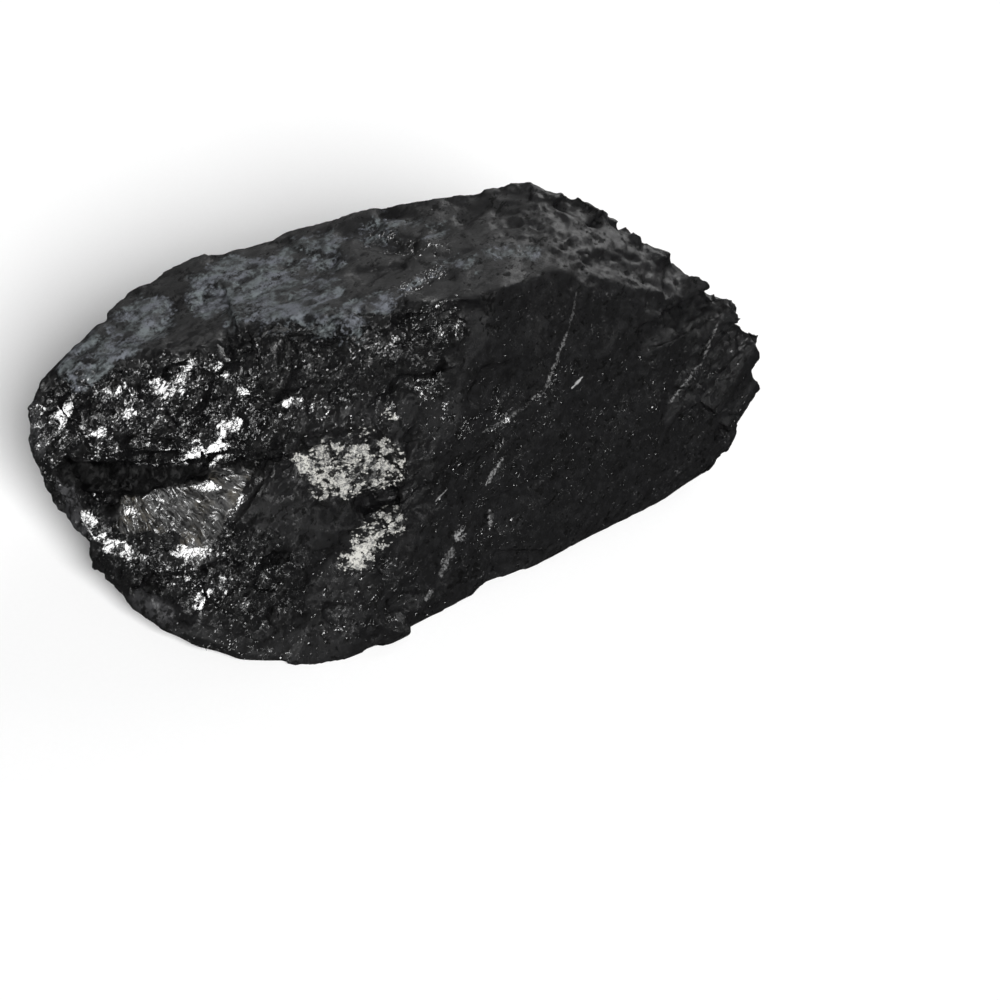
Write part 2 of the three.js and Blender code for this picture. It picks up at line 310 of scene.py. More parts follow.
class ShaderNet(Net):
    """A material's tree."""

    def __init__(self, material: Material) -> None:
        """Starts on a material.

        Args:
            material: the material.
        """
        material.use_nodes = True
        super().__init__(material.node_tree)
        self.here = self.read("ShaderNodeTexCoord", output="Object") * (1 / MM)

    def mark(self, mark: Mark) -> Link:
        """Reads how strongly a mark is painted on the mesh."""
        return self.read("ShaderNodeAttribute", {"attribute_name": mark.value}, None, "Fac")

    def blend(self, factor: Value, under: Value, over: Value) -> Link:
        """Mixes two colours; the factor says how much of the second shows."""
        first, second = [(*c, 1.0) if isinstance(c, tuple) else c for c in (under, over)]
        return self.read("ShaderNodeMix", {"data_type": "RGBA"}, {0: factor, 6: first, 7: second}, 2)

    def bump(self, values: dict) -> Link:
        """Turns the surface's direction by a Bump node with these inputs."""
        return self.read("ShaderNodeBump", None, values, 0)

    def finish(self, values: dict) -> None:
        """Ends the tree in a Principled surface with these inputs."""
        surface = self.node("ShaderNodeBsdfPrincipled", None, values)
        self.node("ShaderNodeOutputMaterial", None, {"Surface": surface.outputs[0]})


class GeometryNet(Net):
    """A Geometry Nodes tree with named sizes."""

    def __init__(self, name: str, sizes: dict[str, float]) -> None:
        """Makes the tree and its inputs.

        Args:
            name: the tree's name.
            sizes: the named inputs and their values.
        """
        tree = bpy.data.node_groups.new(name, "GeometryNodeTree")
        super().__init__(tree)
        for way in ("INPUT", "OUTPUT"):
            tree.interface.new_socket("Geometry", in_out=way, socket_type="NodeSocketGeometry")
        self.sizes = sizes
        self.sockets = {key: tree.interface.new_socket(key, in_out="INPUT", socket_type="NodeSocketFloat")
                        for key in sizes}
        self.group = self.node("NodeGroupInput")
        self.here = self.read("GeometryNodeInputPosition") * (1 / MM)

    def size(self, name: str) -> Link:
        """One of the tree's own inputs."""
        return Link(self, self.group.outputs[name])

    def mark(self, mark: Mark) -> Link:
        """Reads how strongly a mark is painted on the mesh."""
        return self.read("GeometryNodeInputNamedAttribute", {"data_type": "FLOAT"}, {"Name": mark.value}, 0)

    def finish(self, geometry: NodeSocket, material: Material) -> None:
        """Ends the tree in a plain mesh with its material.

        Args:
            geometry: what the tree made.
            material: the finish that it wears.
        """
        plain = self.node("GeometryNodeRealizeInstances", None, {"Geometry": geometry})
        dressed = self.node("GeometryNodeSetMaterial", None,
                            {"Geometry": plain.outputs[0], "Material": material})
        self.node("NodeGroupOutput", None, {"Geometry": dressed.outputs[0]})

    def run_on(self, piece: Object) -> None:
        """Runs the tree on a piece and leaves a plain mesh.

        Args:
            piece: the object whose mesh it changes.
        """
        modifier = piece.modifiers.new(self.tree.name, "NODES")
        modifier.node_group = self.tree
        for key, value in self.sizes.items():
            modifier[self.sockets[key].identifier] = float(value)
        settle(piece)


def new_piece(name: str, data: ID) -> Object:
    """Puts a new object in the scene.

    Args:
        name: its name.
        data: its mesh, light or camera.

    Returns:
        The object.
    """
    piece = bpy.data.objects.new(name, data)
    bpy.context.scene.collection.objects.link(piece)
    return piece


def settle(piece: Object) -> None:
    """Replaces a piece's mesh by what its modifiers make of it, and removes them.

    Args:
        piece: the object.
    """
    graph = bpy.context.evaluated_depsgraph_get()
    result = bpy.data.meshes.new_from_object(piece.evaluated_get(graph))
    result.name = piece.name
    piece.modifiers.clear()
    old, piece.data = piece.data, result
    bpy.data.meshes.remove(old)


def places_of(mesh: Mesh) -> np.ndarray:
    """Reads where a mesh's vertices are.

    Args:
        mesh: the mesh.

    Returns:
        Their places in millimetres, one row each.
    """
    flat = np.empty(len(mesh.vertices) * 3, np.float32)
    mesh.vertices.foreach_get("co", flat)
    return flat.reshape(-1, 3).astype(float) / MM


class Mark(Enum):
    """What a part of the lump's surface is, painted on its mesh."""

    BROKEN = "broken"
    SCALY = "scaly"
    FIBROUS = "fibrous"
    MIRROR = "mirror"
    DUST = "dust"
    CRUST = "crust"
    SMEAR = "smear"
    DENTED = "dented"
    CLEFT = "cleft"
    RIND = "rind"
    RIM = "rim"
    GLITTER = "glitter"
    EASED = "eased"


@dataclass(frozen=True)
class Patch:
    """A soft-edged patch along a short line on the surface, in millimetres.

    It reaches further in depth than across, so that it still covers what the relief has moved.
    """

    start: Point
    end: Point
    reach: float
    strength: float = 1.0
    core: float = 0.5
    depth_ignored: float = 0.55

    def weight(self, places: np.ndarray) -> np.ndarray:
        """How strongly the patch covers each place.

        Args:
            places: points in millimetres.

        Returns:
            From 0 outside the patch to its strength inside the core.
        """
        first, last, look = np.array(self.start), np.array(self.end), np.array(LOOK)
        line = last - first
        share = np.clip((places - first) @ line / (line @ line), 0.0, 1.0)
        off = places - first - share[:, None] * line
        off -= self.depth_ignored * (off @ look)[:, None] * look
        distance = np.linalg.norm(off, axis=1) / self.reach
        rise = np.clip((1.0 - distance) / (1.0 - self.core), 0.0, 1.0)
        return self.strength * rise * rise * (3.0 - 2.0 * rise)


# Each row has a patch's two ends, its reach and, where they aren't the usual ones, strength and core.
ROWS: dict[Mark, list[tuple]] = {
    Mark.BROKEN: [
        ((-56, 10, 26), (-34, -4, 32), 17),
        ((-54, -2, 14), (-38, -18, 10), 13, 0.9),
        ((-28, 3, 38), (0, -11, 41.5), 6.5, 0.85),
        ((-24, -14, 26), (-14, -22, 24), 12, 0.6),
        ((-27, -5, 34.5), (-3, -12.5, 37), 7.5, 0.85, 0.4),
        ((-30, -24, 8), (-12, -32, 4), 10, 0.34),
        ((46, -19, 20), (58, -15, 21), 11, 0.36),
        ((10, -18, 18), (40, -23, 14), 18, 0.16, 0.3),
        ((-40, 32, 8), (30, 27, 5), 17, 0.6, 0.4),
    ],
    Mark.SCALY: [
        ((32, 6, 46), (50, -8, 33), 15, 1, 0.6),
        ((16, 12, 47), (26, 2, 47), 9, 0.25),
        ((40, 22, 24), (56, 4, 16), 16, 0.3),
    ],
    Mark.FIBROUS: [
        ((-44, -5.5, 19), (-36, -10.5, 21.5), 6, 1, 0.6),
        ((-41, -8, 18), (-44, -12, 15), 4.6, 1, 0.6),
        ((-52, -1, 16.8), (-46, -5, 18), 4.6, 0.72),
    ],
    Mark.MIRROR: [
        ((-41.6, 6.4, 34.3), (-37.3, 5.6, 35.6), 2.3, 0.72),
        ((-37.9, 6.4, 36.1), (-35.9, 4.6, 37.8), 1.6, 0.75),
        ((-47.8, 10.4, 33.1), (-46.7, 9.3, 34.6), 1.6, 0.5),
        ((-42.6, 4.9, 32.8), (-39.2, 4.1, 33.3), 1.6, 0.6),
        ((-47, 8.4, 32.2), (-44, 6.4, 32.8), 2.6, 0.4),
        ((-32.5, 2.8, 37.3), (-31.9, 1.9, 36.6), 1.5, 0.8),
        ((-57.2, 13.5, 27.2), (-54.8, 14.7, 30), 1.9, 0.95),
        ((-59, 17.8, 28.2), (-59.5, 15.4, 23.8), 2.2, 0.4),
        ((-53.9, 8.8, 28), (-51.7, 7.6, 27.9), 1.3),
        ((-47.6, 6, 30.8), (-46.6, 5.5, 31.2), 1.3, 0.9),
        ((-41, -1.3, 23.8), (-36.3, -4.7, 26.6), 2.2),
        ((-39, -2.4, 26.6), (-38.4, -3.2, 23.6), 2, 0.95),
        ((-35.3, -2.9, 28.7), (-32.9, -3.6, 29.9), 1.8, 0.95),
        ((-43.9, -0.9, 26), (-42.8, -1.7, 26.1), 1.4, 0.9),
        ((-37.4, -5.9, 23), (-35.5, -7.5, 23.4), 0.7, 1.3),
        ((-55, 4.3, 18), (-53.2, 4.6, 18.7), 1.2, 0.9),
        ((-57.9, 3.1, 15.3), (-57, 0, 13.6), 1.7, 0.85),
        ((-56.4, -2.6, 12.9), (-54.2, -5, 12.5), 1.8, 0.95),
        ((-42.8, -2.8, 21.3), (-38.7, -7.2, 21.4), 1.3, 0.7),
        ((-43.6, -4.9, 19.5), (-42.3, -6.5, 19.4), 1, 0.6),
        ((-48.4, -1.2, 18.4), (-46.8, -6, 16.6), 1.3, 0.6),
        ((-52.1, -0.4, 17), (-50.7, -1.8, 16.8), 1.4, 0.8),
        ((-48, -10.4, 14.4), (-44.1, -13.5, 14.2), 1.7, 0.85),
        ((-35.6, -11.2, 21), (-38.4, -11.5, 19), 1, 0.6),
        ((-41.6, -10.3, 17.6), (-40.2, -10.5, 18.4), 1.3, 0.4),
        ((-48.2, -17.5, 8.3), (-45.7, -16.8, 9.3), 1.4, 0.9),
        ((-44.9, -18, 8.8), (-43.7, -18, 9.3), 1.2, 0.7),
        ((-51.2, -9.9, 11.5), (-50, -9.8, 12.7), 1.6, 0.5),
        ((-30.9, -1.2, 34.3), (-30, -2.4, 34.3), 1, 0.9),
        ((-25, -6.6, 33), (-23.2, -7.7, 34), 1.2, 0.85),
        ((-23.1, -3.8, 38.1), (-22, -5.7, 36.9), 2.2, 0.4),
        ((-20.2, -9.4, 33.8), (-19.3, -10.9, 32.4), 2, 0.35),
        ((-10.7, -13.8, 34.1), (-10.3, -16.3, 31.5), 1.4, 0.55),
        ((-0.8, -11.1, 39.7), (4, -9.3, 44.8), 2, 0.35),
        ((-0.6, -16.5, 34.5), (-2.6, -18.1, 31), 1.8, 0.35),
        ((-56, 13, 29), (-40, 4, 34), 6.5, 0.28, 0.6),
        ((-48, 4, 27), (-38, -2, 27), 5, 0.26, 0.6),
        ((-34, 3, 37.5), (-18, -5, 38), 4, 0.2, 0.6),
        ((-10, -9, 40), (3, -11, 41), 3.2, 0.24, 0.6),
        ((-28, -6, 32), (-22, -9, 32), 3, 0.26, 0.6),
        ((-52, -8, 11), (-40, -16, 12), 5, 0.25, 0.6),
        ((-4.3, -15.4, 34.9), (-3.7, -18, 31), 2.4, 0.28),
        ((8.6, -18.8, 29), (6, -21.4, 24), 2, 0.26),
    ],
    Mark.DUST: [
        ((-23, 18, 39.4), (-15, 6, 42.3), 9),
        ((-9, 15, 42), (-18, 9, 41.7), 9, 0.95, 0.4),
        ((-50, 17, 35), (-38, 20, 37.5), 7, 0.95, 0.4),
        ((-15, -1, 42.5), (-12.5, -4.4, 42), 4.5, 0.95, 0.3),
        ((-10, -1, 43), (-4.6, -3.1, 44), 3, 0.8, 0.2),
        ((-5, -3.4, 44), (6.8, -1.8, 45.1), 1.5, 0.9, 0.2),
        ((8, -2, 45.5), (20, -6, 46.3), 4, 0.42, 0.2),
        ((2, 14, 45), (12, 10, 46), 5, 0.5, 0.2),
    ],
    Mark.CRUST: [
        ((-22.5, -15.4, 24.9), (-14.5, -18.9, 24.8), 5.4, 0.85, 0.6),
        ((-24.5, -17, 22.6), (-20, -18.4, 22), 2.8, 0.8, 0.4),
        ((-23, -25, 13), (-15.8, -24.4, 17.3), 3.9, 0.8),
        ((-26.2, -12.8, 26.2), (-24.6, -15.6, 24), 1.9, 1.05),
        ((-23.3, -25.4, 12.4), (-21.4, -24.8, 13.9), 1.7, 1.15, 0.4),
        ((-17.3, -13.9, 29.1), (-14.5, -14.8, 29.4), 1.8, 0.55, 0.2),
        ((-11.4, -15.6, 31.6), (-10.9, -16.4, 31.2), 1.4, 0.7, 0.2),
    ],
    Mark.SMEAR: [
        ((-5.2, -27.6, 11.2), (-4.4, -27.3, 11.8), 2, 0.85, 0.1),
        ((8.9, -18.4, 29.5), (9.3, -18.5, 29), 1.5, 0.45, 0.1),
        ((8.6, -20.1, 26.8), (7, -20.9, 25.2), 1.6, 0.5, 0.1),
        ((19.9, -18.6, 30), (15.6, -19.5, 27.9), 0.8, 0.5, 0.2),
        ((48.4, -18.8, 20.6), (39.8, -21.8, 17), 0.7, 0.5, 0.2),
        ((1.9, -25.6, 11.6), (1.8, -26.4, 10.2), 0.6, 0.8, 0.4),
        ((-41.5, -27.3, 1.8), (-36.7, -29.7, 2), 1.3, 0.5, 0.1),
    ],
    Mark.DENTED: [
        ((-40, 22, 36), (26, 12, 46), 17),
    ],
    # The cleft is pushed in by the relief and darkened by painted shade in the finish.
    Mark.CLEFT: [
        ((-57, 10, 19.6), (-48, 2.4, 19.8), 3.2),
        ((-48, 2.4, 19.9), (-40, -3.2, 22.4), 2.4, 1, 0.45),
        ((-40, -3.4, 22.6), (-33, -8.2, 24.3), 1.3, 1, 0.3),
        ((-53.3, 2.5, 17.8), (-54.4, 0.3, 16.6), 2, 1, 0.4),
        ((-18.5, -21, 20.2), (-14.2, -21.6, 20.2), 2.2, 0.8, 0.3),
        ((-1.5, 17.2, 43.8), (3, 15.4, 44.8), 2.6, 0.42, 0),
        ((5.6, 17, 45.4), (9.2, 14.8, 45.9), 2.2, 0.42, 0),
        ((15.9, 7.5, 46.5), (20.6, 8.2, 47.5), 2.2, 0.42, 0),
        ((-28.2, 7.4, 39.9), (-29.6, 4, 38), 2, 0.5, 0),
        ((32.4, 2.9, 45.9), (30.8, 3.4, 46.2), 1.5, 0.6, 0),
        ((36.7, -2.1, 44.4), (35.2, -1.8, 45), 1.4, 0.6, 0),
        ((22.8, 1.3, 47.2), (21.6, 1.9, 47.3), 1.4, 0.45, 0),
        ((0.1, 14.1, 44.3), (4.6, 7, 45), 2.8, 0.45, 0),
        ((47.6, -15, 29.4), (45.6, -16.2, 28), 2.2, 0.45, 0),
    ],
    Mark.GLITTER: [
        ((-56, 10, 28), (-34, -2, 33), 14, 0.85),
        ((-50, -6, 15), (-40, -16, 10), 11, 0.75, 0.4),
        ((-27, -1, 37), (-14, -7, 38), 6.5, 0.6, 0.4),
        ((-12, -8, 39), (3.5, -10.5, 41.5), 4.6, 0.7, 0.4),
        ((-24, -9, 33), (-12, -12, 33), 6, 0.55, 0.3),
        ((-4.3, -15.4, 34.9), (-0.6, -20.8, 28.1), 3.4, 0.75, 0.3),
        ((-20, -9.5, 34), (-16, -10.3, 35), 3, 0.9, 0.3),
        ((8.9, -18.4, 29.5), (5.6, -21.7, 23.2), 2.6, 0.65, 0.3),
        ((20.4, -18.8, 30), (15.6, -19.6, 27.6), 1.6, 0.7, 0.3),
        ((-36, -23, 9), (-18, -27, 8), 9, 0.5, 0.3),
        ((-10, -26, 13), (4, -28, 8), 8, 0.35, 0.3),
        ((1, 12.5, 44.4), (8, 2.6, 45.8), 3.6, 0.95, 0.2),
        ((-52, -20, 4), (-36, -29, 3), 5, 0.65, 0.3),
        ((-30, -28, 5), (-16, -31, 4), 6, 0.6, 0.3),
        ((-4, -3, 44), (6.6, -1.8, 45.1), 2.2, 1, 0.4),
        ((-20, -14, 28), (10, -20, 22), 16, 0.4, 0.3),
        ((14, -20, 20), (50, -20, 18), 18, 0.25, 0.3),
    ],
    Mark.RIND: [
        ((-59, 8.5, 18.6), (-58.8, 3.6, 13.6), 2.4),
        ((-55.5, -11.4, 7.6), (-52.6, -15.4, 6.6), 2.4, 0.75, 0.3),
        ((-59, 20, 29.5), (-60.5, 16, 22), 2.4, 0.55),
    ],
    Mark.RIM: [
        ((-58, -7, 6), (-52.4, -18.8, 3.8), 3.2),
        ((-52.4, -18.8, 3.8), (-45.4, -26.6, 1.8), 3.2),
        ((-45.4, -26.6, 1.8), (-34, -31, 1), 3),
        ((-58.6, 20.2, 31), (-61, 16.4, 21.5), 3.4, 0.9, 0.4),
        ((-61, 16.4, 21.5), (-60.4, 11, 18.6), 3.4, 0.9, 0.4),
        ((-58, 20.6, 31.5), (-47, 27, 36), 3.4, 0.9, 0.4),
    ],
    Mark.EASED: [
        ((3.5, -9.4, 44.5), (9.4, -12, 44.9), 2.6),
        ((9.4, -12, 44.9), (7, -12.4, 41), 2.8),
        ((32, 9, 45), (44, 4, 38), 6),
        ((40, -2, 44), (50, -4, 35), 6.5),
        ((48, 2, 32), (55, -6, 27), 5),
        ((22, 26, 22), (42, 14, 18), 6),
        ((24, 19, 35), (43, 9, 30), 4),
    ],
}

PATCHES = {mark: [Patch(*row) for row in rows] for mark, rows in ROWS.items()}


def painted(mark: Mark, places: np.ndarray) -> np.ndarray:
    """How strongly the strongest of a mark's patches covers each place, in millimetres."""
    return np.max([patch.weight(places) for patch in PATCHES[mark]], axis=0)


def paint(mesh: Mesh) -> None:
    """Paints every mark on a mesh as a point attribute.

    Args:
        mesh: the mesh in its final place.
    """
    places = places_of(mesh)
    for mark in Mark:
        layer = mesh.attributes.get(mark.value) or mesh.attributes.new(mark.value, "FLOAT", "POINT")
        layer.data.foreach_set("value", painted(mark, places).astype(np.float32))


def crust_cover(net: Net, mark: Link) -> Link:
    """The lacy pattern of the crust, with holes of about a millimetre.

    Args:
        net: the tree.
        mark: how strongly the crust is painted.

    Returns:
        From 0 on bare stone to 1 on crust.
    """
    clumps = net.sway(Noise(1.7))
    holes = net.sway(Noise(0.75, 4.0, 0.66), net.along(ACROSS, 1.7))
    cover = mark.least(1.0) * 0.62 + clumps * 1.3 + holes * 2.1
    return cover.between(0.46, 0.64) * mark.between(0.05, 0.25)


def fibres(net: Net, fineness: float) -> Link:
    """Fibres that radiate from the point of the cleft.

    Args:
        net: the tree.
        fineness: how many there are to a radian.

    Returns:
        A value of about -0.5 to 0.5 that changes from fibre to fibre.
    """
    off = net.here - FAN_POINT
    turn = net.maths("ARCTAN2", off.dot(FAN_DOWN), off.dot(FAN_ACROSS))
    turn = turn + net.sway(Noise(2.2)) * 0.06
    return net.sway(Noise(1.0, 3.0, 0.6), net.vector(turn * fineness, off.length() * 0.24, 3.0))


@dataclass(frozen=True)
class Finish:
    """What a piece is made of."""

    name: ClassVar[str]

    def material(self) -> Material:
        """Builds the material.

        Returns:
            The material.
        """
        made = bpy.data.materials.new(self.name)
        self.dress(made)
        return made

    def dress(self, material: Material) -> None:
        """Gives a material its tree."""
        raise NotImplementedError


@dataclass(frozen=True)
class TourmalineFinish(Finish):
    """Black glassy tourmaline with its cleavage, fibres, veins and dust, and the painted shade of its cleft
    and pits. Sizes are millimetres.
    """

    name = "black_tourmaline"
    body: Colour = (0.0036, 0.0036, 0.0038)
    worn: Colour = (0.0072, 0.0072, 0.0076)
    rind: Colour = (0.04, 0.04, 0.042)
    # the near black of the painted shade in the cleft and the pits
    shade: Colour = (0.0004, 0.0004, 0.0004)
    blue_dust: Colour = (0.108, 0.115, 0.131)
    green_dust: Colour = (0.1, 0.113, 0.117)
    fibre: Colour = (0.055, 0.055, 0.054)
    brown_fibre: Colour = (0.05, 0.045, 0.036)
    crust: Colour = (0.38, 0.375, 0.35)
    grey_crust: Colour = (0.1, 0.1, 0.099)
    vein: Colour = (0.27, 0.27, 0.27)
    index: float = 1.62
    rough: float = 0.48
    facet: float = 0.75
    block: float = 2.0
    plate: float = 1.1
    dust_pit: float = 2.3
    spark: float = 0.22
    grain_height: float = 0.15
    grain: Noise = Noise(0.35, 3.0, 0.6)
    wear: Noise = Noise(1.4, 5.0, 0.72, 0.46, 0.62)
    mottle: Noise = Noise(0.9, 4.0, 0.6)
    rind_spots: Noise = Noise(1.6, 5.0, 0.66, 0.38, 0.56)
    brown_spots: Noise = Noise(4.0, 2.0, 0.5, 0.42, 0.6)
    pit_crowds: Noise = Noise(3.5, 3.0, 0.6)
    pits: Noise = Noise(1.2, 4.0, 0.66, 0.6, 0.66)
    cracks: Noise = Noise(0.9, 4.0, 0.62, 0.62, 0.68)
    shadow_bands: Noise = Noise(2.4, 5.0, 0.64, 0.56, 0.66)
    powder: Noise = Noise(0.5, 4.0, 0.68)
    bruise_crowds: Noise = Noise(4.0, 3.0, 0.6, shift=7.0)
    bruises: Noise = Noise(0.5, 4.0, 0.7, 0.66, 0.74)
    fan_edge: Noise = Noise(1.6, 4.0, 0.68)
    shiny_spots: Noise = Noise(1.3, 3.0, 0.6, 0.44, 0.6)
    shiny_grain: Noise = Noise(0.3, 3.0, 0.7, 0.36, 0.6)
    dust_clouds: Noise = Noise(4.5, 4.0, 0.6, swirl=0.3)
    dust_grain: Noise = Noise(0.7, 5.0, 0.74)
    dust_wear: Noise = Noise(1.3, 5.0, 0.76, 0.38, 0.6)
    green_spots: Noise = Noise(3.0, 3.0, 0.5, 0.42, 0.58)
    crust_clots: Noise = Noise(0.8, 4.0, 0.66)
    pale_spots: Noise = Noise(0.4, 3.0, 0.65, 0.38, 0.62)
    vein_wander: Noise = Noise(2.0, 4.0, 0.7)
    vein_gaps: Noise = Noise(0.4, 4.0, 0.72, 0.42, 0.6)
    vein_width: Noise = Noise(0.8, 4.0, 0.7, 0.36, 0.62)
    broad_bays: Noise = Noise(2.0)
    fine_bays: Noise = Noise(0.7, 4.0, 0.7)
    plate_lines: Noise = Noise(0.32, 2.0, 0.5, 0.36, 0.46)
    plate_grain: Noise = Noise(0.24, 3.0, 0.7, 0.34, 0.6)
    glitter_crowds: Noise = Noise(2.4, 3.0, 0.65, 0.42, 0.6)
    crests: Noise = Noise(0.34, 4.0, 0.75, 0.63, 0.76)

    def dress(self, material: Material) -> None:
        """Gives a material its tree."""
        TourmalineSurface(material, self).dress()


class TourmalineSurface(ShaderNet):
    """The tree of the tourmaline's material, a method to each thing that it shows."""

    def __init__(self, material: Material, look: TourmalineFinish) -> None:
        """Starts on a material.

        Args:
            material: the material.
            look: its colours, sizes and noises.
        """
        super().__init__(material)
        self.look = look
        self.broken, self.cleft = self.mark(Mark.BROKEN), self.mark(Mark.CLEFT)
        self.clear = self.cleft.between(0.5, 0.2)
        self.fan = self.fibrous_fan()
        self.glow = self.flashes()
        self.lit = self.glow.between(0.0, 0.08)

    def dress(self) -> None:
        """Lays the finishes over one another and ends the tree."""
        look, broken, cleft = self.look, self.broken, self.cleft
        colour = self.blend(self.spots(look.wear) * (1.0 - 0.9 * broken), look.body, look.worn)
        rind = self.mark(Mark.RIND) * self.spots(look.rind_spots)
        colour = self.blend(rind, colour, look.rind)
        threads = fibres(self, 48.0).between(-0.08, 0.16)
        fibre = self.blend(self.spots(look.brown_spots), look.fibre, look.brown_fibre)
        colour = self.blend(self.fan * threads.raised(0.1), colour, fibre)
        film, green = self.film()
        colour = self.blend(film, colour, self.blend(green, look.blue_dust, look.green_dust))
        lace, pale = self.lace()
        colour = self.blend(lace, colour, self.blend(pale, look.grey_crust, look.crust))
        colour = self.blend(self.veins().most(self.smears()), colour, look.vein)
        pits = self.pits() * (1.0 - film) * (1.0 - lace)
        # Painted shade: the cleft's recess and the pits, cracks and bands go towards near black.
        colour = self.blend((cleft.between(0.3, 0.75) * 0.9).most(pits), colour, look.shade)
        rough = look.rough - 0.25 * broken + 0.2 * self.sway(look.mottle)
        rough = rough + 0.35 * film + 0.25 * lace + 0.4 * pits + 0.3 * cleft.between(0.05, 0.45)
        rough = rough - (rough - 0.6 + 0.48 * self.glow) * self.lit
        self.finish({"Base Color": colour, "Roughness": rough, "IOR": look.index, "Normal": self.relief()})

    def pits(self) -> Link:
        """Painted shade: small pits, short slanting cracks and bands of them, in crowds.

        Returns:
            How far the painted shade darkens each point.
        """
        look = self.look
        crowd = self.sway(look.pit_crowds) * 0.5 + 0.06 * self.broken
        drawn = self.along(CRYSTAL_AXIS, 2.4)
        holes, cracks = self.spots(look.pits, None, crowd), self.spots(look.cracks, drawn, crowd)
        # painted shade: these pits, cracks and bands darken only the colour
        return holes.most(cracks).most(self.spots(look.shadow_bands, drawn) * 0.6) * 0.9

    def smears(self) -> Link:
        """Pale powdery smears, and pale bruises all over.

        Returns:
            How pale they are.
        """
        mark = self.mark(Mark.SMEAR)
        smear = (mark * 0.6 + self.sway(self.look.powder) * 2.4).between(0.35, 0.75) * mark.between(0.0, 0.3)
        bruise = self.spots(self.look.bruises, None, self.sway(self.look.bruise_crowds) * 0.5)
        return (smear * mark * 0.8).most(bruise * 0.16)

    def fibrous_fan(self) -> Link:
        """Where the fibrous fan lies, with a ragged edge and one straight side.

        Returns:
            0 beside it and 1 on it.
        """
        noise = self.sway(self.look.fan_edge)
        ragged = (self.mark(Mark.FIBROUS) + noise * 1.3).between(0.42, 0.6)
        side = (FAN_REACH - self.here.dot(FAN_EDGE) + noise * 2.0).between(0.0, 0.4)
        return ragged * side * self.clear

    def film(self) -> tuple[Link, Link]:
        """The film of dust, smeared along the top and worn off in small pits.

        Returns:
            How much of it covers each point, and how green it is.
        """
        look, mark = self.look, self.mark(Mark.DUST)
        drawn = self.along(ACROSS, 1.5)
        cover = mark * 0.6 + self.sway(look.dust_clouds, drawn) * 2.0 + self.sway(look.dust_grain) * 1.3
        cover = cover.between(0.28, 0.52) * mark.between(0.0, 0.25)
        pit = self.cells(drawn / look.dust_pit + self.warp(Noise(1.5, 3.0)) * 0.7)
        hole = pit.distance.between(0.5, 0.26) * self.chance(pit.centre).between(0.4, 0.5)
        strength = self.spots(look.dust_wear).raised(0.15)
        return cover * strength * (1.0 - 0.9 * hole), self.spots(look.green_spots, drawn)

    def lace(self) -> tuple[Link, Link]:
        """The crust's own lacy pattern.

        Returns:
            How much of it covers each point, and how pale it is.
        """
        mark = self.mark(Mark.CRUST)
        clots = (mark + self.sway(self.look.crust_clots) * 2.0).between(0.98, 1.1) * mark.between(0.8, 1.0)
        return crust_cover(self, mark).most(clots), (self.spots(self.look.pale_spots) * 0.9).most(clots)

    def veins(self) -> Link:
        """Thin pale sheets that cut the lump and show as lines.

        Returns:
            How much of them covers each point.
        """
        wander = self.warp(self.look.vein_wander) * 1.6
        whole = self.spots(self.look.vein_gaps)
        ragged = 0.35 + 1.1 * self.spots(self.look.vein_width)
        covers = [vein.cover(self.here + wander * vein.wander, ragged) * whole.most(vein.whole)
                  for vein in VEINS]
        return reduce(Link.most, covers)

    def relief(self) -> Link:
        """Facets too small for the mesh, the common direction of the flashes, and the grain.

        Returns:
            The surface's direction.
        """
        look, broken = self.look, self.broken
        normal = self.read("ShaderNodeNewGeometry", output="Normal")
        swirl = self.along(CRYSTAL_AXIS, CRYSTAL_STRETCH) + self.warp(Noise(2.0)) * 1.2
        small, large = self.cells(swirl / look.facet), self.cells(swirl / look.block)
        lean, spread = small.colour - 0.5, 0.12 + 0.36 * broken
        tied = self.swap(broken * 0.4, normal, self.cleavage(self.chance(small.centre)))
        loose = (tied + lean * spread + (large.colour - 0.5) * spread).unit()
        flash = self.maths("SUBTRACT", FLASH_POINT, self.here).unit() + lean * 0.045
        way = self.swap(self.lit, loose, flash).unit()
        grain = self.noise(look.grain) * (1.0 - 0.55 * broken)
        bumpy = self.bump({"Strength": 0.4, "Distance": look.grain_height * MM, "Height": grain,
                           "Normal": way})
        return self.swap(self.lit, bumpy, way).unit()

    def flashes(self) -> Link:
        """How brightly the cleavage, the fibres, the crests and the sparks catch the light."""
        toward = self.read("ShaderNodeNewGeometry", output="Normal").dot(LOOK).between(0.0, 0.3)
        return self.plates().most(self.threads()).most(self.glitter()) * toward * self.clear

    def plates(self) -> Link:
        """Broken plates of cleavage that flash, crossed by slanting cracks.

        Returns:
            How brightly they show.
        """
        look, mirror = self.look, self.mark(Mark.MIRROR)
        bays = self.sway(look.broad_bays) * 1.5 + self.sway(look.fine_bays) * 1.5
        warped = self.here + self.warp(Noise(1.5, 3.0)) * 1.2
        slanted = self.along(CRYSTAL_AXIS, 2.6, warped) / look.plate
        tone, edge = self.chance(self.cells(slanted).centre) - 0.5, self.edges(slanted).between(0.0, 0.05)
        lines = self.spots(look.plate_lines, self.along(CRYSTAL_AXIS, 6.0, warped))
        texture = edge.raised(0.5) * lines.raised(0.25) * self.spots(look.plate_grain).raised(0.4)
        sheet = (mirror + bays + tone * 0.5 - 0.3) * mirror.between(0.02, 0.1)
        return (sheet * 1.5 + texture - 1.0).between(0.0, 0.7) * edge.raised(0.4)

    def threads(self) -> Link:
        """Fibres of the fan that catch the light."""
        shine = self.spots(self.look.shiny_spots).raised(0.3) * self.spots(self.look.shiny_grain).raised(0.6)
        return fibres(self, 72.0).between(-0.04, 0.13) * shine * self.fan

